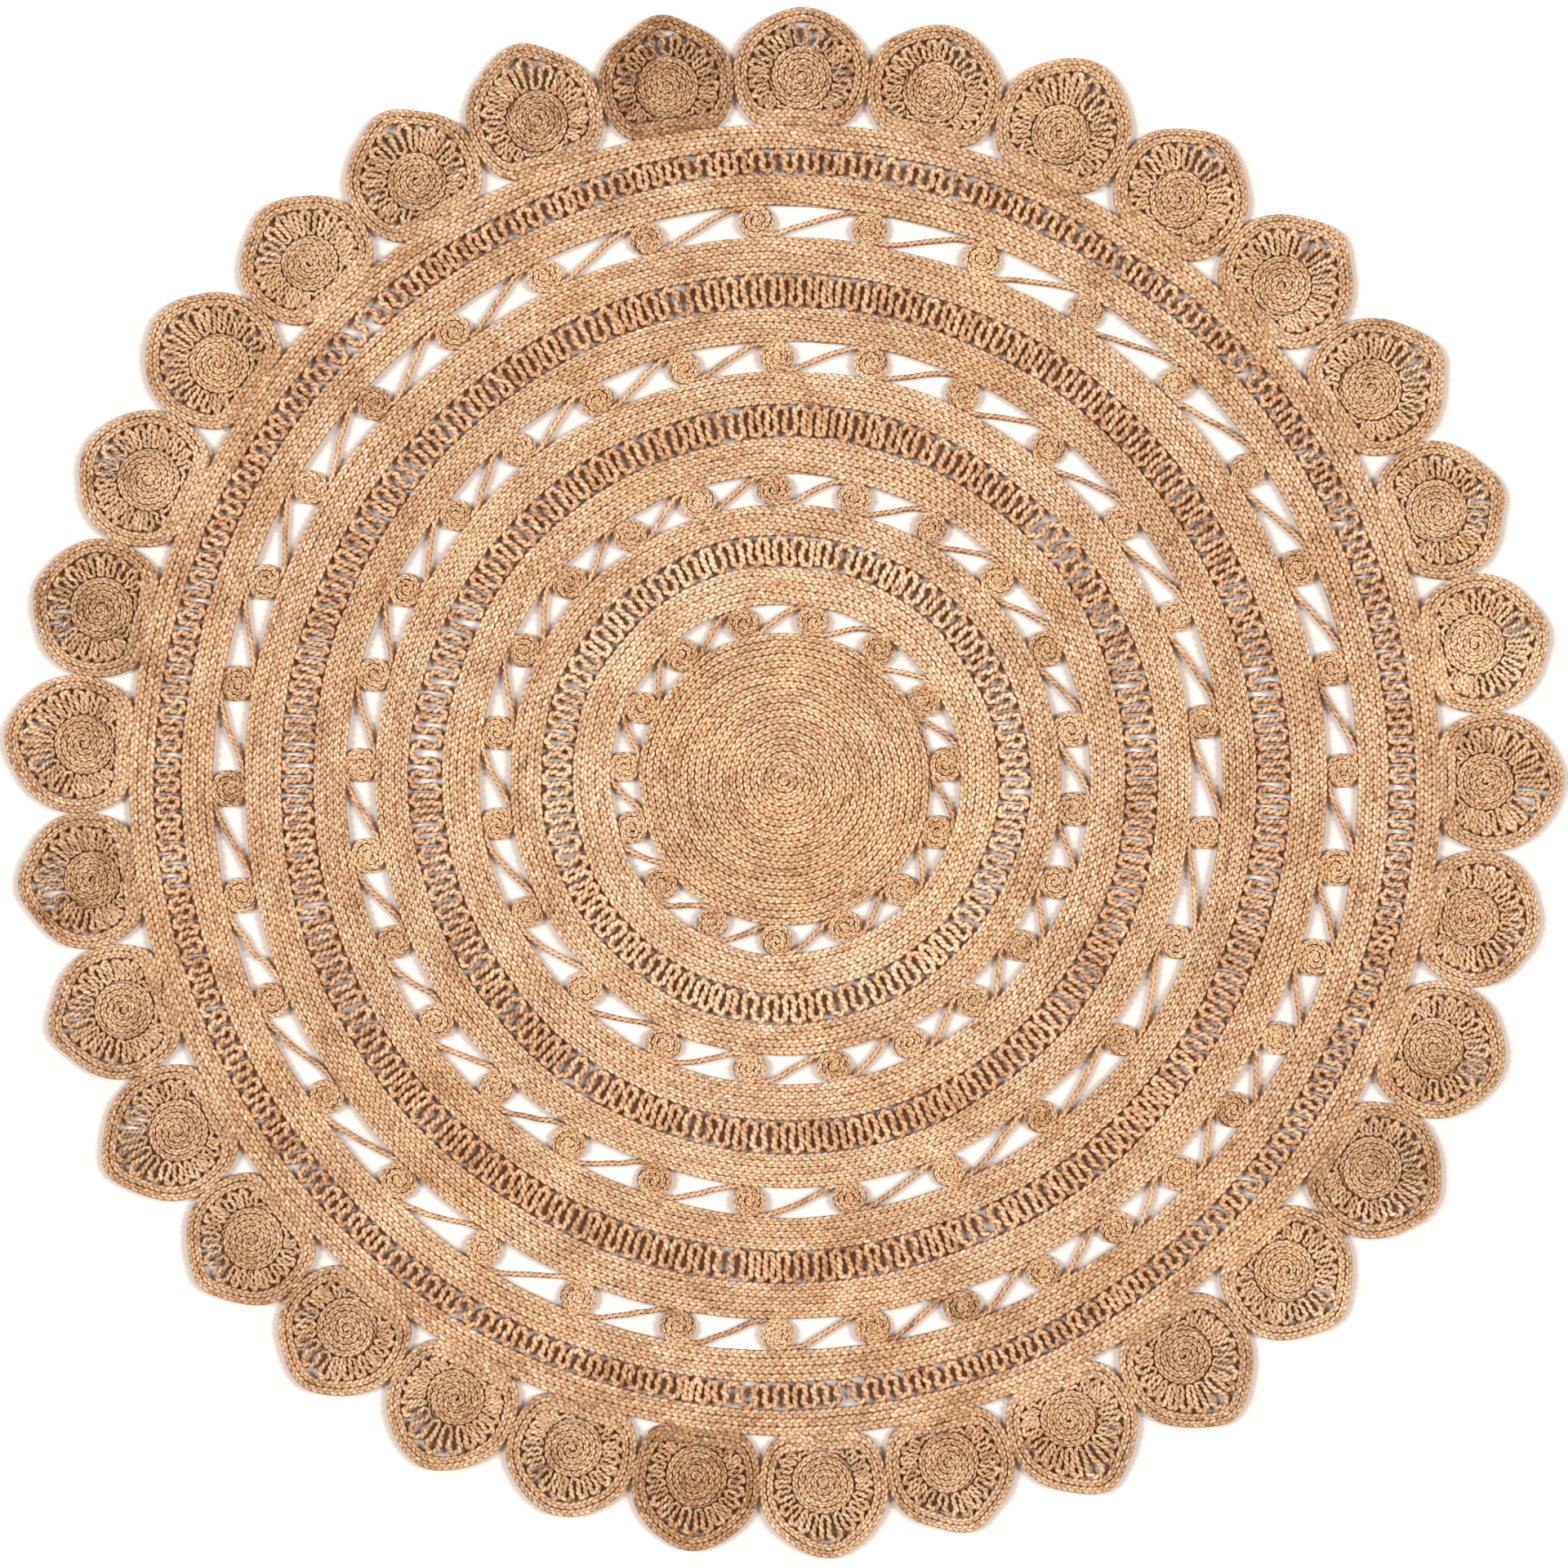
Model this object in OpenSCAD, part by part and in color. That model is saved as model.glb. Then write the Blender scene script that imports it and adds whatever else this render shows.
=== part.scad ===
// Round plaited jute rug, lying flat on its underside.
// A coiled centre is ringed by four zones. Each zone is a ring of small rosettes joined by
// slanting links, a band of plaits, a ring of looped plait and a second band.
// A ring of petals runs round the outside. Every piece is wound or folded from one flat
// three-strand plait; here each winding is a plain solid with a groove between its rows.
// Angles run clockwise from +Y, seen from above.

/* [Plait] */
// Width of one row of the flat plait
plait_w = 11.2; // [9:0.1:13]
// Thickness of the rug
thickness = 9; // [7:0.5:12]
// Depth of the groove between two rows
groove = 1.5; // [0.5:0.1:2.5]
// Space left between neighbouring pieces
gap = 0.3; // [0.2:0.1:1]

/* [Centre and zones, from the inside out] */
// Radius of the coiled centre
centre_r = 231; // [150:1:300]
// Width of each ring of rosettes
rosette_ring_w = [46, 48, 48, 50]; // [36:1:60]
// Width of the band outside each ring of rosettes
inner_band_w = [60, 57, 52, 49]; // [24:1:80]
// Width of each ring of looped plait
loop_ring_w = [50, 53, 53, 43]; // [36:1:60]
// Width of the band outside each ring of loops
outer_band_w = [48, 52, 57, 39]; // [24:1:80]

/* [Rosettes and links] */
// Rosettes in each ring
rosette_count = [15, 22, 27, 34]; // [8:1:34]
// Where the first rosette lies, in degrees
rosette_start = [12, 13, 18, 7]; // [0:1:24]
// How far hand spacing lets the rosettes drift, in degrees
rosette_drift = [2.9, 4.1, 6.4, 6.2]; // [0:0.1:7]
// Direction of that drift, in degrees
drift_turn = [-56, 124, -83, 41]; // [-180:1:180]
// A second, quicker drift, in degrees
rosette_sway = [1.1, 2.7, 1.0, 2.4]; // [0:0.1:3]
// Direction of the second drift, in degrees
sway_turn = [30, -77, 180, -66]; // [-180:1:180]
// Width of a link between two rosettes
link_w = 7; // [4:0.5:9]

/* [Looped plait] */
// Loops in each ring
loop_count = [77, 119, 171, 197]; // [40:1:200]
// Width of one leg of a loop
leg_w = 9.4; // [7:0.1:11]
// Where the two ends of each looped plait meet, in degrees
loop_joint = [8, 7, 6, 5]; // [0:1:20]

/* [Petals] */
// Reach of a petal beyond the last band, before its tip
petal_h = 187; // [170:1:195]
// Distance from the last band to a petal's widest line
petal_wide_at = 86; // [80:1:95]
// Half width of a petal where it meets the last band
petal_foot = 73; // [66:1:80]
// Rows of plait in a petal's border
border_rows = 2; // [1:1:2]
// Height of the border under the coil
base_w = 25; // [22:1:28]
// Radius of the coil in a petal
coil_r = 47.5; // [42:0.5:50]
// Loops over a petal's coil
petal_loops = 17; // [12:1:18]
// Angle from a petal's axis to its last loop, on each side
loop_reach = 128; // [110:1:132]
// Height of a petal's tip above its rounded shoulders
tip_h = 8; // [0:1:14]

/* [Hidden] */
PETALS = 33;
ZONES = 4;
// Place of the first petal, and the drift of the hand-set petals, in degrees
petal_start = 1.6;
petal_drift = 1.5;
petal_drift_turn = -16;
petal_sway = 0.7;
petal_sway_turn = 174;
// How much petals differ: height, tip, coil radius in mm, tip direction in degrees, loops
height_spread = 7;
tip_spread = 6;
coil_spread = 2.2;
tip_lean = 5;
loop_spread = 2;
// Tip and shoulders, in degrees round the petal
tip_span = 11;
shoulder_at = 36;
shoulder_span = 19;
shoulder_cut = 4;
// Clearance between two petals at their widest
petal_gap = 0.8;
// Steps round a petal's outline, and along a link
outline_step = 7.5;
link_steps = 6;
// Arc that a link leaves free beside each rosette, in degrees
link_clear = 0.4;

border_w = border_rows * plait_w;
zone_w = [for (z = [0 : ZONES - 1])
    rosette_ring_w[z] + inner_band_w[z] + loop_ring_w[z] + outer_band_w[z]];
function total(list, count) = count == 0 ? 0 : list[count - 1] + total(list, count - 1);
function rosettes_from(z) = centre_r + total(zone_w, z);
function inner_band_from(z) = rosettes_from(z) + rosette_ring_w[z];
function loops_from(z) = inner_band_from(z) + inner_band_w[z];
function outer_band_from(z) = loops_from(z) + loop_ring_w[z];
petals_from = rosettes_from(ZONES);

function two_digits(n) = n < 10 ? str("0", n) : str(n);

// A point at radius r and angle a, clockwise from +Y
function at(r, a) = [r * sin(a), r * cos(a)];
// A smooth unevenness from -1 to 1 that differs from petal to petal
function uneven(p, seed) = sin(97 * p * seed + 41 * seed);
// A soft bump of height 1 and half width span
function bump(x, span) = exp(-x * x / (span * span));

// Angle of rosette k of zone z, with its hand-set drift
function rosette_angle(z, k) =
    let (a = 360 * k / rosette_count[z])
    a + rosette_start[z] + rosette_drift[z] * sin(a + drift_turn[z])
        + rosette_sway[z] * sin(2 * a + sway_turn[z]);

// Angle of petal p, counted from 0
function petal_angle(p) =
    let (a = 360 * p / PETALS)
    a + petal_start + petal_drift * sin(a + petal_drift_turn)
        + petal_sway * sin(2 * a + petal_sway_turn);

// ---- Bands ----

// Half section of rows side by side, grooved on top and flat underneath
module rows(from, width) {
    count = max(1, round(width / plait_w));
    pitch = width / count;
    side = groove;
    tops = [for (i = [0 : count - 1], corner = [
        [i * pitch, thickness - groove],
        [i * pitch + side, thickness],
        [(i + 1) * pitch - side, thickness]
    ]) [from + corner[0], corner[1]]];
    polygon(concat(
        [[from, 0]],
        tops,
        [[from + width, thickness - groove], [from + width, 0]]
    ));
}

module band(from, width) {
    color("burlywood")
        rotate_extrude($fn = 180)
            rows(from, width);
}

module centre_coil() {
    color("tan")
        rotate_extrude($fn = 180)
            rows(0, centre_r);
}

// ---- Rosettes and links ----

module rosettes(z) {
    r = rosette_ring_w[z] / 2;
    color("peru")
        for (k = [0 : rosette_count[z] - 1])
            rotate([0, 0, -rosette_angle(z, k)])
                translate([0, rosettes_from(z) + r, 0])
                    cylinder(r = r - gap, h = thickness, $fn = 48);
}

// Middle line of a link: it leaves the inner band, crosses on a slant and joins the outer one
function link_radius(z, t) =
    let (low = rosettes_from(z) + gap + link_w / 2,
         high = inner_band_from(z) - gap - link_w / 2)
    low + (high - low) * t * t * (3 - 2 * t);

module link(z, k) {
    half_rosette = asin(rosette_ring_w[z] / 2 / (rosettes_from(z) + rosette_ring_w[z] / 2));
    start = rosette_angle(z, k) + half_rosette + link_clear;
    end = rosette_angle(z, k + 1) - half_rosette - link_clear;
    function edge(side) = [for (i = [0 : link_steps])
        let (t = i / link_steps,
             a = start + (end - start) * t)
        at(link_radius(z, t) + side * link_w / 2, a)];
    near = edge(-1);
    far = edge(1);
    color("sandybrown")
        linear_extrude(height = thickness)
            polygon(concat(far, [for (i = [link_steps : -1 : 0]) near[i]]));
}

module links(z) {
    for (k = [0 : rosette_count[z] - 1])
        link(z, k);
}

// ---- Looped plait ----

// Outline of a plait folded to and fro between an inner radius and an outer one.
// reach(a) is the outer radius at angle a.
function folds(count, from, to, inner, reach) =
    let (
        pitch = (to - from) / count,
        quarter = pitch / 4,
        leg_in = min(leg_w / inner * 180 / PI, 0.42 * pitch),
        out_side = [for (j = [0 : count - 1])
            let (a = from + (j + 0.5) * pitch,
                 outer = reach(a),
                 leg_out = min(leg_w / outer * 180 / PI, 0.42 * pitch),
                 last = j == count - 1)
            each [
                at(outer, a - quarter - leg_out / 2),
                at(outer, a + quarter + leg_out / 2),
                at(last ? inner : inner + leg_w, a + quarter + leg_in / 2),
                if (!last) at(inner + leg_w, a + 3 * quarter - leg_in / 2)
            ]],
        in_side = [for (j = [count - 1 : -1 : 0])
            let (a = from + (j + 0.5) * pitch,
                 outer = reach(a),
                 leg_out = min(leg_w / outer * 180 / PI, 0.42 * pitch))
            each [
                at(inner, a + quarter - leg_in / 2),
                at(outer - leg_w, a + quarter - leg_out / 2),
                at(outer - leg_w, a - quarter + leg_out / 2),
                at(inner, a - quarter + leg_in / 2)
            ]]
    )
    concat([at(inner, from + quarter - leg_in / 2)], out_side, in_side);

module loops(z) {
    inner = loops_from(z) + gap;
    outer = outer_band_from(z) - gap;
    color("wheat")
        linear_extrude(height = thickness)
            polygon(folds(loop_count[z], loop_joint[z], loop_joint[z] + 360,
                inner, function (a) outer));
}

// ---- Petals ----

function petal_coil_r(p) = coil_r + coil_spread * uneven(p, 3);
function petal_height(p) = petal_h + height_spread * uneven(p, 5);
function petal_tip(p) = max(0, tip_h + tip_spread * uneven(p, 7));
function petal_lean(p) = tip_lean * uneven(p, 11);
function petal_folds(p) = petal_loops + round(loop_spread * uneven(p, 13));
// Height of the coil's centre above the last band
function coil_at(p) = base_w + 2 * gap + petal_coil_r(p);

// Half width of petal p on side s: 1 towards the next petal, -1 towards the one before
function half_width(p, s) =
    let (apart = abs(petal_angle(p + s) - petal_angle(p)))
    (petals_from + petal_wide_at) * tan(apart / 2) - petal_gap;

// Distance along direction a, from a point `above` below the centre of an ellipse of half
// axes w and h, to that ellipse
function ellipse_reach(a, w, h, above) =
    let (k = pow(sin(a) / w, 2) + pow(cos(a) / h, 2),
         m = cos(a) * above / (h * h))
    (m + sqrt(m * m - k * (above * above / (h * h) - 1))) / k;

// Distance from the coil's centre to the last band's edge, moved outwards by inset
function base_reach(p, a, inset) =
    let (far = petals_from + coil_at(p),
         r = petals_from + gap + inset,
         m = far * cos(a),
         d = m * m - far * far + r * r)
    cos(a) < 0 && d > 0 ? -m - sqrt(d) : petals_from;

// Distance from the coil's centre to the petal's outline, moved inwards by inset, at angle a
// from the petal's axis
function petal_reach(p, a, inset) =
    let (
        turn = (a + 540) % 360 - 180,
        w = half_width(p, turn < 0 ? -1 : 1) - inset,
        above = petal_wide_at - coil_at(p),
        up = petal_height(p) - petal_wide_at - inset,
        low = petal_wide_at / sqrt(1 - pow(petal_foot / half_width(p, 1), 2)) - inset,
        over = ellipse_reach(turn, w, up, above),
        under = ellipse_reach(turn, w, low, above),
        side = over * cos(turn) >= above ? over : under,
        lean = turn - petal_lean(p),
        tip = petal_tip(p) * bump(lean, tip_span),
        shoulder = shoulder_cut * (bump(lean - shoulder_at, shoulder_span)
            + bump(lean + shoulder_at, shoulder_span))
    )
    min(side + tip - shoulder, base_reach(p, turn, inset * base_w / border_w));

module outline(p, inset) {
    polygon([for (i = [0 : 360 / outline_step - 1])
        let (a = i * outline_step + petal_lean(p))
        at(petal_reach(p, a, inset), a)]);
}

module petal_border(p) {
    color("burlywood")
        linear_extrude(height = thickness)
            difference() {
                outline(p, 0);
                outline(p, border_w);
            }
}

module petal_coil(p) {
    color("tan")
        rotate_extrude($fn = 96)
            rows(0, petal_coil_r(p));
}

// The arch of loops stays inside the straight steps of the border's inner outline
function arch_reach(p, a) =
    min([for (i = [-2 : 2]) petal_reach(p, a + i * outline_step, border_w)]) - 2 * gap;

// The arch's straight inner turns just clear the round coil
module petal_arch(p) {
    count = petal_folds(p);
    inner = (petal_coil_r(p) + gap) / cos(loop_reach / count);
    color("wheat")
        linear_extrude(height = thickness)
            polygon(folds(count, -loop_reach, loop_reach, inner,
                function (a) arch_reach(p, a)));
}

module petal(p) {
    rotate([0, 0, -petal_angle(p)])
        translate([0, petals_from + coil_at(p), 0]) {
            petal_border(p);
            petal_coil(p);
            petal_arch(p);
        }
}

// ---- The rug ----

centre_coil();
for (z = [1 : ZONES]) {
    rosettes(z - 1);
    links(z - 1);
    band(inner_band_from(z - 1), inner_band_w[z - 1]);
    loops(z - 1);
    band(outer_band_from(z - 1), outer_band_w[z - 1]);
}
for (p = [1 : PETALS])
    petal(p - 1);
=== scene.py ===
"""The looks of a round plaited jute rug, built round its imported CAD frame.

Every piece is made of flat three-strand plaits. Each plait follows a line on the floor that is
worked out from its CAD node: turns for the bands and coils, folds for the looped plait, and
the outline for a petal's border. Angles run clockwise from +Y, as in the CAD model, and
lengths are in metres.
"""

from collections import namedtuple

import bpy
import numpy as np
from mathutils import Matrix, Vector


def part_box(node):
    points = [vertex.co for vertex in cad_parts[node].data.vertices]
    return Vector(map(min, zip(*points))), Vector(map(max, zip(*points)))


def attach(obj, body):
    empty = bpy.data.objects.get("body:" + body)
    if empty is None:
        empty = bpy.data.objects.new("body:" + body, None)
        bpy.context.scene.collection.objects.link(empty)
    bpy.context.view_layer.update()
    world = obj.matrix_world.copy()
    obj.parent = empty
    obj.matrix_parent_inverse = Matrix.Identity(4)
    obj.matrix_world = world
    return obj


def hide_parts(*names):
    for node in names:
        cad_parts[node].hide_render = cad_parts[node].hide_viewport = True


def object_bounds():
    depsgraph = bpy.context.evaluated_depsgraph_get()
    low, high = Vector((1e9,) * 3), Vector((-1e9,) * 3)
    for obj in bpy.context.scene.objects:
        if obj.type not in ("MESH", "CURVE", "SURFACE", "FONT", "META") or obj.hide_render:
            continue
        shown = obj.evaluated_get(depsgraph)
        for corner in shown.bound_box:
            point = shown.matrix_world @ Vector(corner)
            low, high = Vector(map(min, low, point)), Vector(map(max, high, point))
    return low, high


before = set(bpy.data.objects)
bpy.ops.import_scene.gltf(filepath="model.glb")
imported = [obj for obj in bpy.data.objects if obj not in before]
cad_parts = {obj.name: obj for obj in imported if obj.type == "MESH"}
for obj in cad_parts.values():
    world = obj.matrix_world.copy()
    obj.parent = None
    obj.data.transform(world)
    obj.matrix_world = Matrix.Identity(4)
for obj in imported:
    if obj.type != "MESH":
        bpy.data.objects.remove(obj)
cad_low, cad_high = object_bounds()

TURN = 2 * np.pi
MM = 0.001

# A plait's width and thickness as it lies, the length of one stitch, how squarely its strands
# turn back at its edges, the sides of a strand's section, and whether it stands on its edge
Plait = namedtuple("Plait", "width thick stitch square sides on_edge")
ROW = Plait(11.5 * MM, 8.8 * MM, 12.0 * MM, 0.18, 4, False)
COIL_ROW = Plait(10.2 * MM, 8.8 * MM, 10.2 * MM, 0.16, 4, False)
ROSETTE_ROW = Plait(9.2 * MM, 8.8 * MM, 9.4 * MM, 0.14, 4, False)
FOLDED = Plait(11.8 * MM, 8.4 * MM, 10.0 * MM, 0.03, 4, True)
PETAL_FOLDED = Plait(9.2 * MM, 8.2 * MM, 8.6 * MM, 0.03, 4, True)
LINK = Plait(8.6 * MM, 7.4 * MM, 10.0 * MM, 0.0, 5, True)

STRANDS = 3
RINGS = 12  # sections of a strand in one period of the plait, which is three stitches
LINE_STEP = 2.5 * MM
MOST_TURN = 0.02  # the longest step along a coil, in turns

# Strands in their plait, as shares of its width and thickness
SWING, RISE = 0.30, 0.19  # how far a strand goes from the plait's middle, across and up
WIDE, TALL = 0.24, 0.31  # half a strand's width and height
SWELL = 0.07  # how much fuller a strand is on top
FIBRE_REACH = 0.23  # how far fibres lie from their strand's middle
FIBRE_TWIST = 0.03  # length in which fibres wind once round their strand, in metres
FAR_APART = 90  # how far apart the streaks of different strands may start in the noise

# Ends of plaits and strands, as shares of their full size
NARROWEST = 0.2  # a plait's width
THINNEST = 0.4  # a plait's thickness
TAPER = 0.45  # a strand's width

# Waves along a strand, by how much and how long: in its width and swing, in its stitches'
# lengths, and in its tone
Wave = namedtuple("Wave", "much long")
SLOW, QUICK = Wave(0.06, 0.083), Wave(0.05, 0.031)
PULL = Wave(1.3 * MM, 0.047)
FADE = Wave(0.22, 0.19)

ZONES, PETALS = 4, 33
ROW_WIDTH = 11.2 * MM  # of the bands and the centre in the CAD model
JOINT = np.radians([8, 7, 6, 5])  # where the looped plaits and the bands have their ends
CLEAR_OF_FLOOR = 0.5 * MM
DIAGONAL = np.sqrt(8)  # of the box round a circle, in radii

# The slow unevenness of the rug as laid out by hand: height in mm, waves in a turn, how much a
# wave slants outwards, and where it starts. It fades out inside the steady radius.
PUSHED = ((1.3, 3, 9, 0.7), (1.1, 7, -14, 2.1), (0.8, 13, 19, 4.0))
SLID = ((1.2, 5, 11, 1.0),)
STEADY = 0.3

# Tones run from -1, dark, to 1, light: of each zone's bands and looped plait, of the petals that
# are darker than the rest, and how much pieces, strands and stitches differ
INNER_TONES = (0.3, 0.2, 0.0, 0.05)
LOOP_TONES = (0.6, 0.1, 0.0, 0.0)
OUTER_TONES = (0.1, 0.2, 0.0, -0.05)
DARK_PETALS = (18, 33)
DARKER = 0.45
PIECE_TONE, BATCH_TONE, STITCH_TONE = 0.12, 0.10, 0.17
SHADE = 0.11  # how much deeper the painted shade reaches on a plait on its edge, as a share of its height


# ---- Lines on the floor ----


def at(radius, angle):
    """Points at these radii and angles, clockwise from +Y."""
    return np.stack([radius * np.sin(angle), radius * np.cos(angle)], axis=-1)


def polar(points):
    """Radii and angles of points."""
    return np.hypot(points[:, 0], points[:, 1]), np.arctan2(points[:, 0], points[:, 1])


def wrapped(angle):
    """The same angles, brought within half a turn of zero."""
    return (angle + TURN / 2) % TURN - TURN / 2


def ease(t):
    """A smooth rise from 0 to 1."""
    t = np.clip(t, 0, 1)
    return t * t * (3 - 2 * t)


def lengths(line):
    """Distance along a line of each of its points."""
    return np.concatenate([[0], np.cumsum(np.hypot(*np.diff(line, axis=0).T))])


def spaced(line, step=LINE_STEP):
    """The line with evenly spaced points."""
    along = lengths(line)
    places = np.linspace(0, along[-1], max(3, int(along[-1] / step) + 1))
    return np.stack([np.interp(places, along, line[:, i]) for i in range(2)], axis=-1)


def curve_through(points, steps=8):
    """A smooth curve through the points, by Catmull and Rom's rule."""
    points = np.asarray(points)
    padded = np.concatenate([2 * points[:1] - points[1:2], points, 2 * points[-1:] - points[-2:-1]])
    a, b, c, d = (padded[i : len(padded) - 3 + i, None] for i in range(4))
    t = np.linspace(0, 1, steps, endpoint=False)[None, :, None]
    curve = 0.5 * (
        2 * b + (c - a) * t + (2 * a - 5 * b + 4 * c - d) * t**2 + (3 * b - a - 3 * c + d) * t**3
    )
    return np.concatenate([curve.reshape(-1, 2), points[-1:]])


def waves(rows, radius, angle):
    """The sum of slanting waves round the rug, in mm."""
    return sum(
        high * np.sin(count * angle + slant * radius + first) for high, count, slant, first in rows
    )


def settled(line):
    """The line moved by the slow unevenness of a hand-sewn rug that was laid out by hand."""
    radius, angle = polar(line)
    push, slide = waves(PUSHED, radius, angle), waves(SLID, radius, angle)
    hold = ease(radius / STEADY)[:, None] * MM
    return line + hold * (at(push, angle) + at(slide, angle + TURN / 4))


def winding(turns, rows, share):
    """How far in from the outside a wound plait lies and how wide it is, both in rows. Over the
    last share of each turn it moves in by a row. Its ends narrow to a point in the room that
    this leaves, so that the outside and the inside stay round."""
    part = turns - np.floor(turns)
    moved = ease((part - 1 + share) / share)
    place = np.maximum(np.floor(turns), 0) + 0.5 + moved
    wide = np.ones(len(turns))
    first, last = turns < 0, turns > rows - share
    place[first], wide[first] = moved[first] / 2, moved[first]
    place[last], wide[last] = rows - (1 - moved[last]) / 2, 1 - moved[last]
    return place, np.maximum(wide, NARROWEST)


def wound(outer, row, rows, share, start, sense=1, centre=(0, 0)):
    """A plait wound from an outer radius inwards, which moves in by a row over the last share
    of each turn. Gives its line and how wide it is, in rows."""
    turns = np.arange(-share, rows, min(LINE_STEP / (TURN * outer), MOST_TURN))
    to_middle = rows * row >= outer - 0.1 * MM
    place, wide = winding(turns, np.inf if to_middle else rows, share)
    radii = outer - row * place
    innermost = 0.03  # in rows
    keep = radii > innermost * row
    return centre + at(radii[keep], start + sense * TURN * turns[keep]), wide[keep]


def coil(radius, row, share, start, sense, centre=(0, 0)):
    """A plait coiled up to its own middle, which its end fills."""
    line, wide = wound(radius, row, radius / row, share, start, sense, centre)
    ahead = line[-1] - line[-2]
    end = 0.7  # length and width of the end that fills the middle, in rows
    tip = line[-1] + ahead / np.hypot(*ahead) * end * row
    return np.concatenate([line, [tip]]), np.append(wide, end)


def folded(angles, inner, outer, plait, rng, sway, tuck):
    """A plait folded to and fro, with an outer turn at each even angle and an inner one at
    each odd angle. inner and outer give the radii that it lies between, at an angle, and its
    turns tuck under its neighbours by tuck. It starts and ends with a leg across."""
    points = []
    half = plait.width / 2
    gaps = np.diff(angles)
    most_short = 0.9  # of its edge that a turn stays, in mm
    bulges = (0.98, 1.36)  # how wide a turn is, as a share of the legs' spacing
    deepest, round_shape = 0.28, 0.45  # depth of a turn, as shares of a leg and of the spacing
    lopsided = 0.9  # how far a turn leans, in mm
    for i, angle in enumerate(angles):
        before, after = gaps[max(i - 1, 0)], gaps[min(i, len(gaps) - 1)]
        low, high = inner(angle) + half - tuck, outer(angle) - half + tuck
        outwards = i % 2 == 0
        short = rng.uniform(0, most_short) * MM
        crown = high - short if outwards else low + short
        far = low if outwards else high
        bulge = rng.uniform(*bulges)
        apart = crown * (before + after) / 2
        spread = min((high - low) * deepest, round_shape * apart + 1.5 * MM)
        shoulder = crown - spread if outwards else crown + spread
        lean = rng.normal(0, lopsided) * MM
        if i == 0:
            points += [at(far, angle - before / 2), at((low + high) / 2, angle - before / 2)]
        points += [
            at(shoulder + lean, angle - bulge * before / 2),
            at(crown, angle),
            at(shoulder - lean, angle + bulge * after / 2),
        ]
        waist = angle + after / 2 + rng.normal(0, sway) / crown
        points.append(at((low + high) / 2, waist))
        if i == len(angles) - 1:
            points.append(at(far, angle + after / 2))
    return curve_through(points)


def uneven_angles(start, end, count, rng, spread, open_ones=()):
    """Angles that divide a stretch into unequal shares. The open ones have more room."""
    least, most = 0.55, 1.7
    few, loose, open_wide = 0.06, 1.6, 1.9
    shares = np.clip(rng.normal(1, spread, count), least, most)
    shares[rng.random(count) < few] *= loose
    shares[list(open_ones)] *= open_wide
    edges = np.concatenate([[0], np.cumsum(shares)]) / shares.sum()
    return start + (end - start) * (edges[:-1] + edges[1:]) / 2


# ---- What the CAD nodes say ----


def corners(node):
    """The corners of a CAD node's mesh."""
    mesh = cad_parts[node].data
    points = np.empty(len(mesh.vertices) * 3)
    mesh.vertices.foreach_get("co", points)
    return points.reshape(-1, 3)


def solids(node):
    """The corners of each separate solid of a CAD node, seen from above."""
    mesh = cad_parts[node].data
    points = corners(node)
    ends = np.empty(len(mesh.edges) * 2, int)
    mesh.edges.foreach_get("vertices", ends)
    same = np.unique(np.round(points, 5), axis=0, return_inverse=True)[1].reshape(-1)
    first, second = same[ends[::2]], same[ends[1::2]]
    label = np.arange(same.max() + 1)
    while True:
        lower = label.copy()
        np.minimum.at(lower, first, label[second])
        np.minimum.at(lower, second, label[first])
        lower = lower[lower]
        if (lower == label).all():
            break
        label = lower
    part = label[same]
    return [points[part == k][:, :2] for k in np.unique(part)]


def ring_radii(node):
    """Inner and outer radius of a ring-shaped CAD node."""
    radius = polar(corners(node))[0]
    return radius.min(), radius.max()


def middle_of(points):
    """Middle of the box round the points."""
    return (points.min(0) + points.max(0)) / 2


def size_of(points):
    """Diagonal of the box round the points."""
    return np.hypot(*(points.max(0) - points.min(0)))


# ---- Plaits ----


def corner_turns(sides):
    """Where the corners of a strand's section are, in turns round it. Four make its top flat."""
    return (0.125 if sides == 4 else 0.25) + np.arange(sides + 1) / sides


# One strand: its rings of corners, their places along it, and the look of each corner
Strand = namedtuple("Strand", "rings places fibre tone height")


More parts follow.
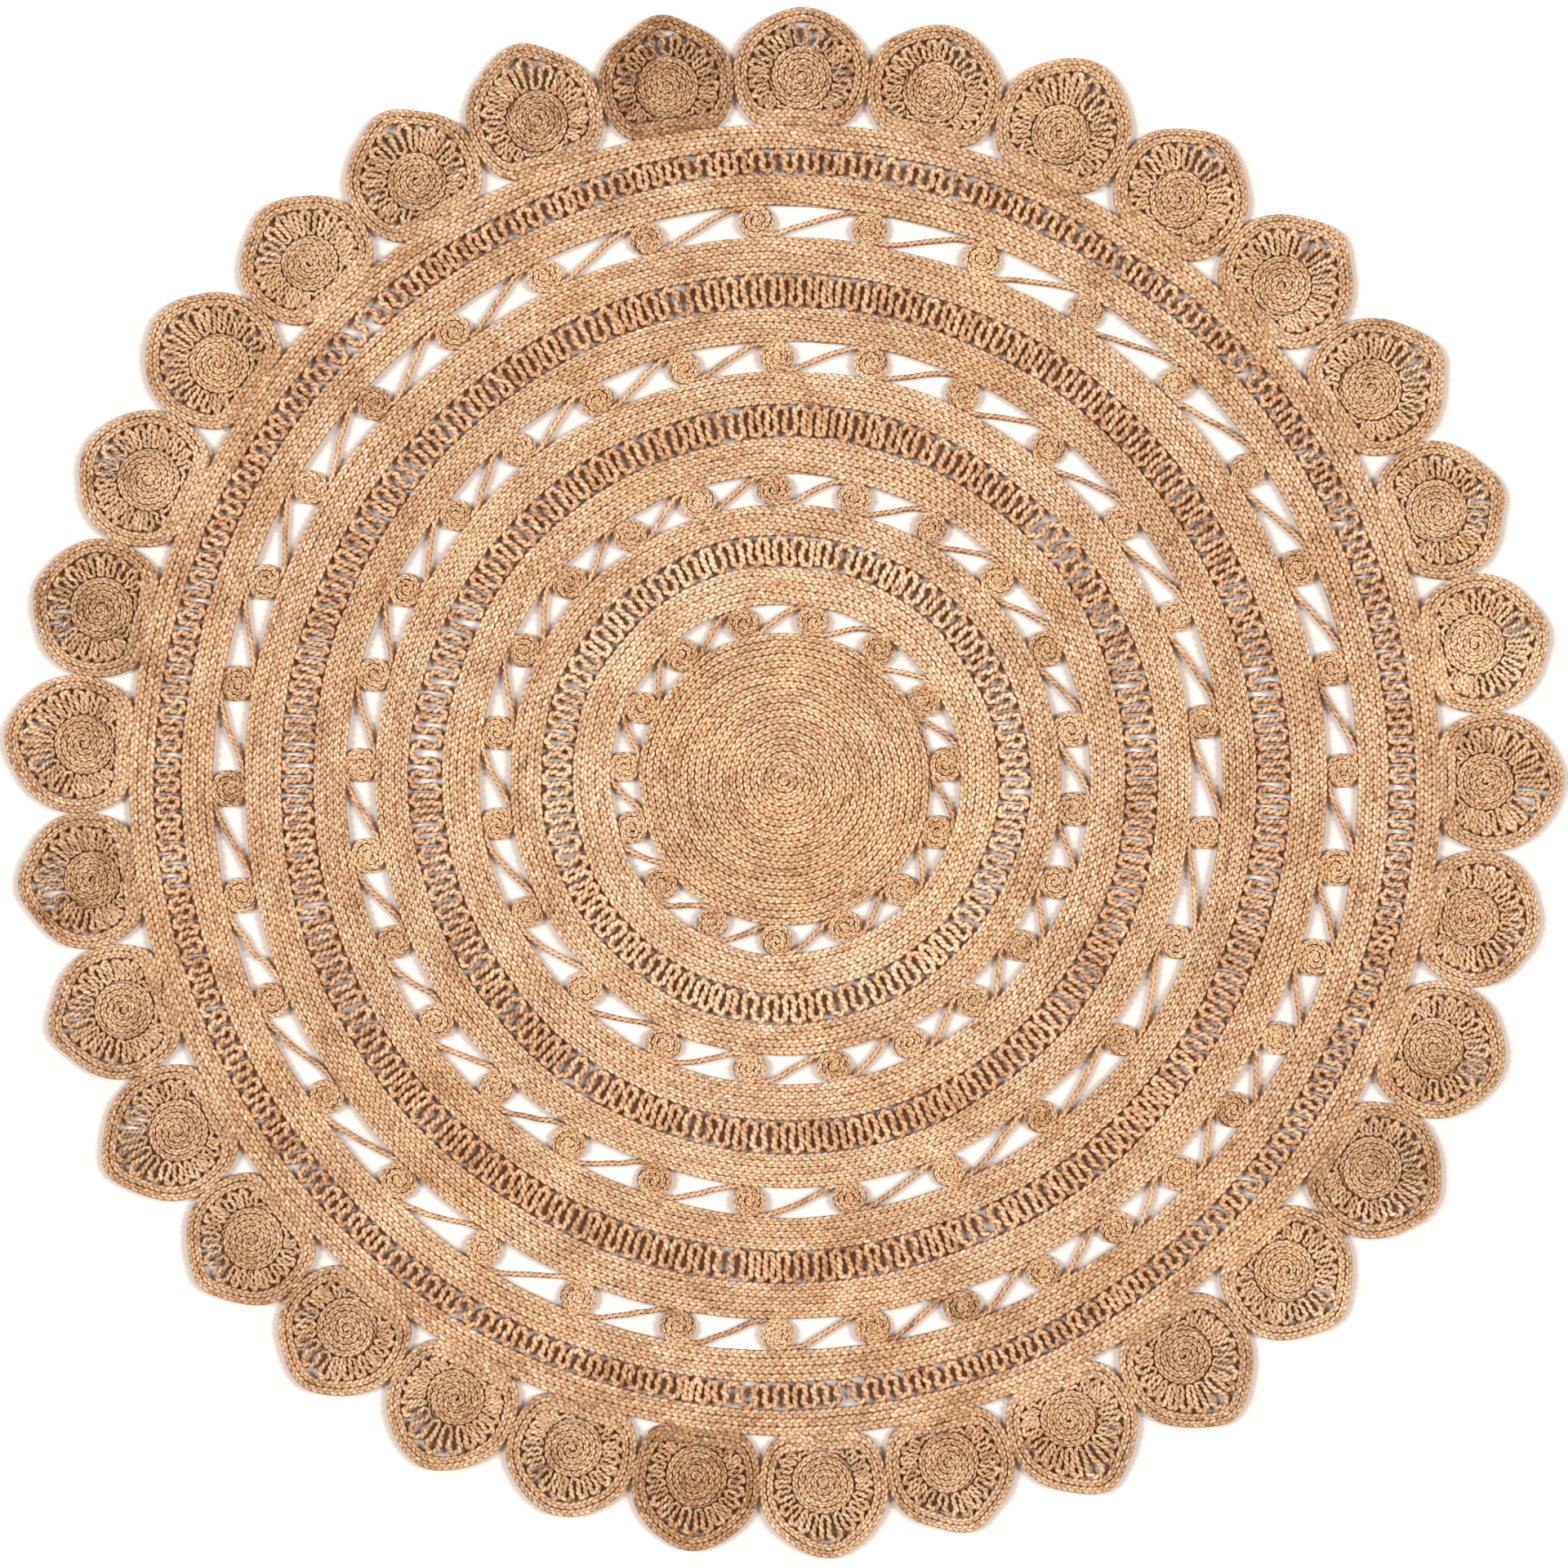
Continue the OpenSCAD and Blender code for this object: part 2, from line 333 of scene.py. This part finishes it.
class Piece:
    """The plaits of one visible piece."""

    def __init__(self, name, seed):
        self.name = name
        self.rng = np.random.default_rng(seed)
        self.strands = []

    def lay(self, line, plait, tone=0.0, lift=0.0, wide=None):
        """Lays a plait of three strands along a line. wide scales its width at each point."""
        raw = settled(line)
        line = spaced(raw)
        along = lengths(line)
        if wide is None:
            wide = np.ones(len(raw))
        wide = np.interp(along / along[-1], lengths(raw) / lengths(raw)[-1], wide)
        heading = np.gradient(line, along, axis=0)
        period = STRANDS * plait.stitch
        start = self.rng.uniform(0, 1)
        wander = self.rng.uniform(0, TURN, 4)
        batch = self.rng.normal(0, BATCH_TONE, STRANDS)
        for strand in range(STRANDS):
            shift = start + strand / STRANDS
            first = int(np.ceil(shift * RINGS))
            last = int(np.floor((shift + along[-1] / period) * RINGS))
            turns = np.arange(first, last + 1) / RINGS
            places = (turns - shift) * period
            if len(turns) < 4:
                continue
            uneven = 1 + SLOW.much * np.sin(TURN * places / SLOW.long + wander[0] + strand)
            uneven += QUICK.much * np.sin(TURN * places / QUICK.long + wander[1] + 2 * strand)
            pull = PULL.much * (np.sin(TURN * places / PULL.long + wander[2]) - np.sin(wander[2]))
            read = np.clip(places + pull, 0, along[-1])
            x, y, hx, hy, size = (
                np.interp(read, along, values)
                for values in (line[:, 0], line[:, 1], heading[:, 0], heading[:, 1], wide)
            )
            norm = np.hypot(hx, hy)
            swing = np.cos(TURN * turns) - plait.square * np.cos(3 * TURN * turns)
            weave = np.sin(2 * TURN * turns)
            thick = plait.thick * (THINNEST + (1 - THINNEST) * np.minimum(size, 1))
            moves, fills = (-SWING * swing * uneven, RISE * weave), (WIDE, TALL)
            if plait.on_edge:
                moves, fills = moves[::-1], fills[::-1]
            across = moves[0] * plait.width * size
            height = lift + thick * (0.5 + moves[1])
            centre = np.stack([x - across * hy / norm, y + across * hx / norm, height], axis=-1)
            grain = np.floor(2 * turns + 0.5 * plait.on_edge).astype(int)
            grain -= grain[0]
            spread = self.rng.normal(0, STITCH_TONE, grain[-1] + 1)[grain]
            slow = FADE.much * np.sin(TURN * places / FADE.long + wander[3] + strand)
            swell = uneven * (1 + SWELL * weave)
            half_wide = fills[0] * plait.width * size * swell
            half_tall = fills[1] * thick * swell
            tones = tone + batch[strand] + spread + slow
            self.add(centre, plait, half_wide, half_tall, places, tones, lift + thick)

    def add(self, centre, plait, half_wide, half_tall, places, tone, top_at):
        """Adds one strand, with a ring of corners round each point of its middle line."""
        run = np.gradient(centre, axis=0)
        run /= np.linalg.norm(run, axis=1)[:, None]
        side = np.stack([run[:, 1], -run[:, 0], np.zeros(len(run))], axis=-1)
        side /= np.linalg.norm(side, axis=1)[:, None]
        top = np.cross(side, run)
        round_it = TURN * corner_turns(plait.sides)[:-1]
        fuller = 1.27 if plait.sides == 4 else 1.05  # so that flat sides hold as much as a round
        girth = np.full(len(centre), fuller)
        girth[[0, -1]] *= TAPER
        wide = (half_wide * girth)[:, None] * np.cos(round_it)
        tall = (half_tall * girth)[:, None] * np.sin(round_it)
        points = (
            centre[:, None]
            + side[:, None] * wide[:, :, None]
            + top[:, None] * tall[:, :, None]
        )
        twist = round_it + (places * TURN / FIBRE_TWIST)[:, None]
        reach = FIBRE_REACH * plait.width
        fibre = np.stack(
            [
                np.broadcast_to(places[:, None], twist.shape) + self.rng.uniform(0, FAR_APART),
                reach * np.cos(twist),
                reach * np.sin(twist),
            ],
            axis=-1,
        )
        # Height of each corner as a share of its plait's top: the mask of the painted shade in low
        # places. A plait on its edge is lowered by SHADE, so more of it gets painted shade.
        height = points[:, :, 2] / top_at[:, None] - (SHADE if plait.on_edge else 0)
        tones = np.repeat(tone, plait.sides)
        self.strands.append(Strand(points, places - places[0], fibre, tones, height))

    def faces(self):
        """Corners of the faces: quads along the strands, then a cap on each end."""
        quads, caps, base = [], [], 0
        for strand in self.strands:
            count, sides = strand.rings.shape[:2]
            i = np.arange(count - 1)[:, None] * sides
            k = np.arange(sides)[None, :]
            k_next = (k + 1) % sides
            round_face = [i + k, i + sides + k, i + sides + k_next, i + k_next]
            quads.append(base + np.stack(round_face, axis=-1).reshape(-1, 4))
            end = (count - 1) * sides
            caps.append(base + np.array([np.arange(sides), end + np.arange(sides)[::-1]]))
            base += count * sides
        return np.concatenate(quads), caps

    def unrolled(self):
        """The strands unrolled one after the other on the rows of a square map, with a place
        on it for each corner of each face."""
        girth = 15 * MM  # room for a strand's sides on the map, and between two strands
        longest = 6 * MM  # of a face
        margin = 0.05  # round a strand on its row, as a share of the row
        total = sum(strand.places[-1] + girth for strand in self.strands)
        rows = int(np.sqrt(total / girth)) + 1
        row_length = total / rows
        quads, caps, reel = [], [], 0.0
        for strand in self.strands:
            sides = strand.rings.shape[1]
            where = reel + strand.places
            row = np.minimum(np.floor(where / row_length), rows)[:-1, None]
            k = np.arange(sides)[None, :]
            low, high = (
                (row + margin + (1 - 2 * margin) * (k + j) / sides) / (rows + 1) for j in (0, 1)
            )
            left, right = (
                np.broadcast_to((w[:, None] - row * row_length) / (row_length + longest), low.shape)
                for w in (where[:-1], where[1:])
            )
            round_face = [left, low, right, low, right, high, left, high]
            quads.append(np.stack(round_face, axis=-1).reshape(-1, 2))
            for end in (0, -1):
                caps.append(np.tile([left[end, 0], low[end, 0]], (sides, 1)))
            reel += strand.places[-1] + girth
        return np.concatenate(quads + caps)

    def turned(self):
        """How far round its strand each corner of each quad lies, in turns."""
        parts = []
        for strand in self.strands:
            count, sides = strand.rings.shape[:2]
            turns = corner_turns(sides)
            turns = np.stack([turns[:-1], turns[:-1], turns[1:], turns[1:]], axis=-1)
            parts.append(np.tile(turns.ravel(), count - 1))
        return np.concatenate(parts)

    def build(self, node, slot, material):
        """Makes the piece's mesh and lets it stand for its CAD node."""
        points = np.concatenate([strand.rings.reshape(-1, 3) for strand in self.strands])
        quads, caps = self.faces()
        cap_sizes = np.concatenate([np.full(len(c), c.shape[1]) for c in caps])
        loops = np.concatenate([quads.ravel()] + [c.ravel() for c in caps])
        sizes = np.concatenate([np.full(len(quads), 4), cap_sizes])
        mesh = bpy.data.meshes.new(self.name)
        mesh.vertices.add(len(points))
        mesh.vertices.foreach_set("co", points.ravel())
        mesh.loops.add(len(loops))
        mesh.loops.foreach_set("vertex_index", loops)
        mesh.polygons.add(len(sizes))
        mesh.polygons.foreach_set("loop_start", np.cumsum(sizes) - sizes)
        mesh.update(calc_edges=True)
        mesh.shade_smooth()
        uv = mesh.uv_layers.new(name="OFBake")
        uv.uv.foreach_set("vector", self.unrolled().ravel())
        fibre = mesh.attributes.new("fibre", "FLOAT_VECTOR", "POINT")
        fibre.data.foreach_set("vector", np.concatenate([s.fibre.ravel() for s in self.strands]))
        for name in ("tone", "height"):
            values = mesh.attributes.new(name, "FLOAT", "POINT")
            parts = [getattr(strand, name).ravel() for strand in self.strands]
            values.data.foreach_set("value", np.concatenate(parts))
        upright = 0.25  # the turn of a cap's corners, which keeps the painted shade of a strand's sides off the caps, as on the top
        turn = mesh.attributes.new("turn", "FLOAT", "CORNER")
        turns = np.concatenate([self.turned(), np.full(cap_sizes.sum(), upright)])
        turn.data.foreach_set("value", turns)
        mesh.materials.append(material)
        piece = bpy.data.objects.new(self.name, mesh)
        bpy.context.scene.collection.objects.link(piece)
        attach(piece, "root")
        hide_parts(node)


# ---- Material ----


def jute(name, dark, middle, light, painted_shade_colour=(0.30, 0.175, 0.10)):
    """Dry jute fibre: streaks along each strand, lighter and darker stitches, brown stains.
    Low places and the sides of strands are multiplied by the shade colour: painted shade, which stands in
    for the shade that falls there."""
    material = bpy.data.materials.new(name)
    material.use_nodes = True
    nodes, links = material.node_tree.nodes, material.node_tree.links
    shader = nodes["Principled BSDF"]

    def noise(source, scale, stretch, detail, roughness=0.55):
        """Noise of this many features a metre, times the stretch in each direction."""
        mapping = nodes.new("ShaderNodeMapping")
        mapping.inputs["Scale"].default_value = stretch
        links.new(source, mapping.inputs["Vector"])
        texture = nodes.new("ShaderNodeTexNoise")
        texture.inputs["Scale"].default_value = scale
        texture.inputs["Detail"].default_value = detail
        texture.inputs["Roughness"].default_value = roughness
        links.new(mapping.outputs[0], texture.inputs["Vector"])
        return texture.outputs["Fac"]

    def ranged(value, low, high, to_low, to_high):
        """The value spread evenly over a new range, and held inside it."""
        node = nodes.new("ShaderNodeMapRange")
        for place, number in zip(range(1, 5), (low, high, to_low, to_high)):
            node.inputs[place].default_value = number
        links.new(value, node.inputs[0])
        return node.outputs[0]

    def add(first, second):
        node = nodes.new("ShaderNodeMath")
        node.operation = "ADD"
        links.new(first, node.inputs[0])
        links.new(second, node.inputs[1])
        return node.outputs[0]

    def attribute(name):
        node = nodes.new("ShaderNodeAttribute")
        node.attribute_name = name
        return node

    fibre = attribute("fibre")
    place = nodes.new("ShaderNodeTexCoord").outputs["Object"]

    streaks = noise(fibre.outputs["Vector"], 1.0, (80, 1300, 1300), 3, 0.65)
    strands = noise(fibre.outputs["Vector"], 1.0, (40, 420, 420), 2)
    patches = noise(place, 9.0, (1, 1, 1), 4, 0.6)
    value = add(ranged(streaks, 0.34, 0.66, -0.2, 0.17), ranged(strands, 0.32, 0.68, -0.12, 0.12))
    value = add(value, ranged(patches, 0.3, 0.7, -0.16, 0.14))
    value = add(value, ranged(attribute("tone").outputs["Fac"], -1, 1, 0.5 - 0.4, 0.5 + 0.4))
    ramp = nodes.new("ShaderNodeValToRGB")
    stops = ramp.color_ramp.elements
    stops[0].position, stops[0].color = 0.0, (*dark, 1)
    stops[1].position, stops[1].color = 1.0, (*light, 1)
    stop = stops.new(0.5)
    stop.color = (*middle, 1)
    links.new(value, ramp.inputs["Fac"])

    def multiplied(colour, amount, tint):
        mix = nodes.new("ShaderNodeMix")
        mix.data_type = "RGBA"
        mix.blend_type = "MULTIPLY"
        links.new(amount, mix.inputs["Factor"])
        links.new(colour, mix.inputs["A"])
        mix.inputs["B"].default_value = (*tint, 1)
        return mix.outputs["Result"]

    stain = noise(fibre.outputs["Vector"], 1.0, (34, 150, 150), 2)
    colour = multiplied(ramp.outputs["Color"], ranged(stain, 0.57, 0.68, 0, 0.8), (0.66, 0.46, 0.32))
    rust = noise(place, 5.0, (1, 1, 1), 3)
    colour = multiplied(colour, ranged(rust, 0.42, 0.62, 0, 0.6), (1.0, 0.93, 0.82))
    height = attribute("height").outputs["Fac"]
    # Painted shade: the low places of each plait, where shade falls between the strands, are multiplied
    # by the shade colour.
    colour = multiplied(colour, ranged(height, 0.36, 0.86, 1, 0), painted_shade_colour)
    # Painted shade: the sides of each strand are multiplied by the shade colour, the more the further
    # round from its top a corner lies.
    up = nodes.new("ShaderNodeMath")
    up.operation = "SINE"
    links.new(ranged(attribute("turn").outputs["Fac"], 0, 1, 0, TURN), up.inputs[0])
    colour = multiplied(colour, ranged(up.outputs[0], 0.72, 0.96, 0.6, 0), painted_shade_colour)
    links.new(colour, shader.inputs["Base Color"])

    links.new(ranged(streaks, 0.3, 0.7, 0.92, 0.68), shader.inputs["Roughness"])
    shader.inputs["Specular IOR Level"].default_value = 0.25
    bump = nodes.new("ShaderNodeBump")
    bump.inputs["Strength"].default_value = 0.55
    bump.inputs["Distance"].default_value = 0.5 * MM
    links.new(add(streaks, strands), bump.inputs["Height"])
    links.new(bump.outputs["Normal"], shader.inputs["Normal"])
    return material


LOOP_PAINTED_SHADE = (0.28, 0.11, 0.03)  # painted shade: the colour that the low places and strands' sides of the looped plait are multiplied by
LINK_PAINTED_SHADE = (0.52, 0.36, 0.23)  # and the painted shade colour of the links
MATERIALS = {
    "centre_plait": jute("jute_centre", (0.27, 0.13, 0.06), (0.65, 0.45, 0.272), (0.865, 0.684, 0.472)),
    "band_plait": jute("jute_band", (0.27, 0.13, 0.06), (0.604, 0.415, 0.254), (0.83, 0.71, 0.525)),
    "rosette_plait": jute("jute_rosette", (0.28, 0.14, 0.06), (0.637, 0.435, 0.261), (0.84, 0.679, 0.47)),
    "link_plait": jute("jute_link", (0.28, 0.14, 0.06), (0.745, 0.53, 0.34), (0.92, 0.78, 0.55), LINK_PAINTED_SHADE),
    "loop_plait": jute("jute_loop", (0.28, 0.14, 0.07), (0.605, 0.392, 0.232), (0.79, 0.635, 0.44), LOOP_PAINTED_SHADE),
    "petal_plait": jute("jute_petal", (0.24, 0.12, 0.05), (0.557, 0.38, 0.232), (0.815, 0.645, 0.445)),
}


# ---- The rug's pieces ----


def make(piece, node, slot):
    """Builds the piece in the material of its slot."""
    piece.build(node, slot, MATERIALS[slot])


def centre_coil(seed):
    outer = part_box("centre_coil")[1].x
    piece = Piece("centre_coil_plait", seed)
    rows = round(outer / ROW_WIDTH)
    line, wide = coil(outer, outer / rows, share=0.3, start=np.radians(20), sense=-1)
    piece.lay(line, ROW, wide=wide)
    make(piece, "centre_coil", "centre_plait")


def band(node, zone, seed, tone):
    """One plait wound round the rug, row beside row, from the outside in."""
    inner, outer = ring_radii(node)
    rows = round((outer - inner) / ROW_WIDTH)
    row = (outer - inner) / rows
    piece = Piece(f"{node}_plait", seed)
    crossing = 120 * MM  # length over which the plait moves in by a row
    snug = 1.11  # width of the plait, in rows
    line, wide = wound(outer, row, rows, crossing / (TURN * outer), JOINT[zone])
    piece.lay(line, ROW._replace(width=snug * row), tone, wide=wide)
    make(piece, node, "band_plait")


def rosettes(node, seed):
    """Little coils, each stretched a little along the band that it is sewn to."""
    piece = Piece(f"{node}_plait", seed)
    fuller = (1.2, 2.8)  # how much bigger than its CAD solid a rosette is, in mm
    most_stretched = 0.12
    for corner_points in solids(node):
        middle = middle_of(corner_points)
        radius = size_of(corner_points) / DIAGONAL + piece.rng.uniform(*fuller) * MM
        start = piece.rng.uniform(0, TURN)
        tone = piece.rng.normal(0, PIECE_TONE)
        line, wide = coil(radius, 8.6 * MM, share=0.5, start=start, sense=1)
        along = at(1, np.arctan2(*middle) + TURN / 4)
        stretch = piece.rng.uniform(0, most_stretched)
        line += (line @ along)[:, None] * along * stretch
        line += middle
        piece.lay(line, ROSETTE_ROW, tone, 0.2 * MM, wide)
    make(piece, node, "rosette_plait")


def links(node, seed):
    """Short plaits that slant from one band to the next along the middle lines of their CAD
    solids, whose corners lie in pairs across them, and then run on along the bands."""
    piece = Piece(f"{node}_plait", seed)
    pulled = 0.75  # how straight a link is pulled between its ends
    crooked = 0.7  # in mm
    tone = -0.05
    for corner_points in solids(node):
        middle = np.arctan2(*middle_of(corner_points))
        radius, angle = polar(corner_points)
        angle = wrapped(angle - middle)
        stations = np.unique(np.round(angle, 4))
        radii = np.array([radius[np.abs(angle - a) < 2e-4].mean() for a in stations])
        radii += pulled * (np.linspace(radii[0], radii[-1], len(radii)) - radii)
        reach = 17 * MM / radii.mean()  # along the bands at its ends
        stations = np.concatenate([[stations[0] - reach], stations, [stations[-1] + reach]])
        radii = np.concatenate([radii[:1], radii, radii[-1:]])
        radii[1:-1] += piece.rng.normal(0, crooked, len(radii) - 2) * MM
        line = curve_through(at(radii, stations + middle))
        piece.lay(line, LINK, piece.rng.normal(tone, PIECE_TONE), CLEAR_OF_FLOOR)
    make(piece, node, "link_plait")


def looped_ring(node, zone, seed, tone):
    """A ring of folds, as many as its CAD solid has: each has two corners on the outside."""
    inner, outer = ring_radii(node)
    radius, angle = polar(corners(node))
    loops = len(np.unique(np.round(angle[radius > outer - 0.1 * MM], 4))) // 2
    piece = Piece(f"{node}_plait", seed)
    clear = 5.0 * MM / inner  # between each end and the joint
    start, end = JOINT[zone] + clear, JOINT[zone] + TURN - clear
    angles = uneven_angles(start, end, 2 * loops, piece.rng, 0.2)
    between = (lambda a: inner, lambda a: outer)
    sway, tuck = 1.4 * MM, 2.5 * MM
    line = folded(angles, *between, FOLDED, piece.rng, sway, tuck)
    piece.lay(line, FOLDED, tone, CLEAR_OF_FLOOR)
    make(piece, node, "loop_plait")


def rim(turned, reach, pick):
    """A petal's outline, smoothed: its reach from the coil's centre for each degree."""
    steps = np.unique(np.round(turned, 3))
    corner_reach = np.array([pick(reach[np.abs(turned - a) < 2e-3]) for a in steps])
    half, spread = 20, 8.5  # of the smoothing, in degrees
    degrees = np.radians(np.arange(-half, 360 + half))
    raw = np.interp(degrees, steps, corner_reach, period=TURN)
    weight = np.exp(-0.5 * (np.arange(-half, half + 1) / spread) ** 2)
    lost = 0.6 * MM  # by the smoothing, at the petal's round sides
    return np.convolve(raw, weight / weight.sum(), "valid") + lost


def petal_coil(piece, radius, centre, facing, tone):
    """A coil wound either way, whose outer end lies by the petal's foot."""
    start = facing + TURN / 2 + piece.rng.uniform(-1, 1)
    sense = piece.rng.choice([-1, 1])
    line, wide = coil(radius, 9.9 * MM, share=0.5, start=start, sense=sense, centre=centre)
    piece.lay(line, COIL_ROW, tone, wide=wide)


def petal_border(piece, outline, centre, facing, tone):
    """Two rows of plait that follow the outline, from the petal's foot."""
    rows = 2
    crossing = 0.12  # share of a turn over which the plait moves in by a row
    snug = 1.05  # width of the plait, in rows
    turns = np.arange(-crossing, rows, 0.004)
    angle = TURN * (0.5 + turns) + piece.rng.uniform(-0.3, 0.5)
    place, wide = winding(turns, rows, crossing)
    line = centre + at(outline(angle, 1 - place / rows), facing + angle)
    row = (outline(angle, 1) - outline(angle, 0)) / rows
    plait = ROW._replace(stitch=10.6 * MM)
    piece.lay(line, plait, tone, wide=wide * snug * row / plait.width)


def petal_arch(piece, arch, radius, outline, centre, facing, tone):
    """Loops between the coil and the border. One or two by the petal's tip are open, and the
    plait's ends run behind the foot."""
    radii, spots = polar(arch - centre)
    inner_turns = spots[radii < radii.min() + 0.3 * MM]
    loops = len(np.unique(np.round(inner_turns, 4))) // 2 - 1
    cad_reach, reach = 128, 136  # degrees from the petal's axis to its last loop
    loops = round(loops * reach / cad_reach)
    reach_to = np.radians(reach)
    tip = 2 * (loops // 2) + 2 * piece.rng.integers(-1, 2)
    open_ones = (tip, tip + 2)[: piece.rng.integers(1, 3)]
    angles = uneven_angles(-1, 1, 2 * loops + 1, piece.rng, 0.22, open_ones) * reach_to
    crowding = 0.16  # how much closer loops lie by the foot than at the sides
    angles += crowding * np.sin(angles)
    angles *= reach_to / (reach_to + crowding * np.sin(reach_to))
    between = (lambda a: radius - 1.0 * MM, lambda a: float(outline(a, 0)))
    sway, tuck = 0.7 * MM, 1.9 * MM
    line = folded(angles, *between, PETAL_FOLDED, piece.rng, sway, tuck)
    tail = np.radians([168, 160, 152, 144])
    middles = (radius + outline(tail, 0)) / 2
    line = spaced(np.concatenate([at(middles, -tail), line, at(middles[::-1], tail[::-1])]))
    away, around = polar(line)
    near, far = (1.1, 0.8), (1.7, 1.2)  # distance in coil radii, and the plait's width there
    wide = np.interp(away / radius, *zip(near, far))
    line = at(away, around + facing) + centre
    piece.lay(line, PETAL_FOLDED, tone + 0.05, CLEAR_OF_FLOOR, wide)


def petal(number, seed):
    """A petal: its coil is the smallest of its three CAD solids, its border the largest."""
    node = f"petal_{number:02d}"
    piece = Piece(f"{node}_plait", seed)
    round_part, arch, border = sorted(solids(node), key=size_of)
    centre = middle_of(round_part)
    radius = size_of(round_part) / DIAGONAL
    facing = np.arctan2(*centre)
    tone = piece.rng.normal(0, PIECE_TONE) - (DARKER if number in DARK_PETALS else 0)
    petal_coil(piece, radius, centre, facing, tone)

    reach, turned = polar(border - centre)
    turned = wrapped(turned - facing)
    inside, outside = rim(turned, reach, np.min), rim(turned, reach, np.max)

    def outline(angle, share):
        """Reach from the coil's centre, at an angle from the petal's axis, to a share of the
        way from the border's inside to its outside."""
        degrees = np.degrees(angle)
        near = np.interp(degrees, np.arange(360), inside, period=360)
        return near + share * (np.interp(degrees, np.arange(360), outside, period=360) - near)

    petal_border(piece, outline, centre, facing, tone)
    petal_arch(piece, arch, radius, outline, centre, facing, tone)
    make(piece, node, "petal_plait")


def rug():
    """All the rug's pieces, each with a seed of its own for its random draws."""
    centre_coil(1)
    for zone in range(ZONES):
        n = zone + 1
        rosettes(f"rosettes_{n}", 10 + n)
        links(f"links_{n}", 20 + n)
        band(f"inner_band_{n}", zone, 30 + n, INNER_TONES[zone])
        looped_ring(f"loops_{n}", zone, 40 + n, LOOP_TONES[zone])
        band(f"outer_band_{n}", zone, 50 + n, OUTER_TONES[zone])
    for number in range(1, PETALS + 1):
        petal(number, 100 + number)


# ---- Floor, light and camera ----


def floor():
    """A wide white floor for the looks, which is no part of the rug."""
    mesh = bpy.data.meshes.new("floor")
    far = 15.0
    floor_corners = [(-far, -far, 0), (far, -far, 0), (far, far, 0), (-far, far, 0)]
    mesh.from_pydata(floor_corners, [], [(0, 1, 2, 3)])
    obj = bpy.data.objects.new("floor", mesh)
    bpy.context.scene.collection.objects.link(obj)
    obj.location.z = -0.2 * MM  # just under the rug
    material = bpy.data.materials.new("floor_white")
    material.use_nodes = True
    shader = material.node_tree.nodes["Principled BSDF"]
    shader.inputs["Base Color"].default_value = (0.735, 0.715, 0.69, 1)
    shader.inputs["Roughness"].default_value = 0.9
    shader.inputs["Specular IOR Level"].default_value = 0.1
    mesh.materials.append(material)


def light():
    """Two soft lamps from the sides under a dome that is bright low down and dark overhead, so
    that the plaits' crevices stay dark and warm."""
    world = bpy.data.worlds.new("studio")
    bpy.context.scene.world = world
    world.use_nodes = True
    nodes, links = world.node_tree.nodes, world.node_tree.links
    direction = nodes.new("ShaderNodeTexCoord").outputs["Generated"]
    apart = nodes.new("ShaderNodeSeparateXYZ")
    links.new(direction, apart.inputs[0])
    dome = nodes.new("ShaderNodeValToRGB")
    stops = dome.color_ramp.elements
    stops[0].position, stops[0].color = 0.2, (0.85, 0.85, 0.85, 1)
    stops[1].position, stops[1].color = 0.85, (0.22, 0.075, 0.015, 1)
    stop = stops.new(0.35)
    stop.color = (0.62, 0.53, 0.42, 1)
    links.new(apart.outputs["Z"], dome.inputs["Fac"])
    background = nodes["Background"]
    background.inputs["Strength"].default_value = 1.2
    links.new(dome.outputs["Color"], background.inputs["Color"])
    lamps = (("left", (-4.0, 0.8, 2.8), 3.65), ("right", (4.0, 0.4, 2.8), 3.3))
    for name, place, energy in lamps:
        lamp = bpy.data.lights.new(name, "SUN")
        lamp.angle = np.radians(26)
        lamp.energy = energy
        obj = bpy.data.objects.new(name, lamp)
        bpy.context.scene.collection.objects.link(obj)
        obj.location = place
        obj.rotation_euler = (-obj.location).to_track_quat("-Z", "Y").to_euler()


def camera():
    """Looks straight down, from far enough that nothing leans."""
    width = 2.477  # of the floor in view
    data = bpy.data.cameras.new("camera")
    data.lens = 120
    data.sensor_width = 36
    obj = bpy.data.objects.new("camera", data)
    bpy.context.scene.collection.objects.link(obj)
    distance = width * data.lens / data.sensor_width
    obj.location = (-1.3 * MM, -7.7 * MM, cad_high.z + distance)
    data.clip_end = 100
    bpy.context.scene.camera = obj


camera()
light()
floor()
rug()

bpy.context.scene.view_settings.view_transform = "Standard"
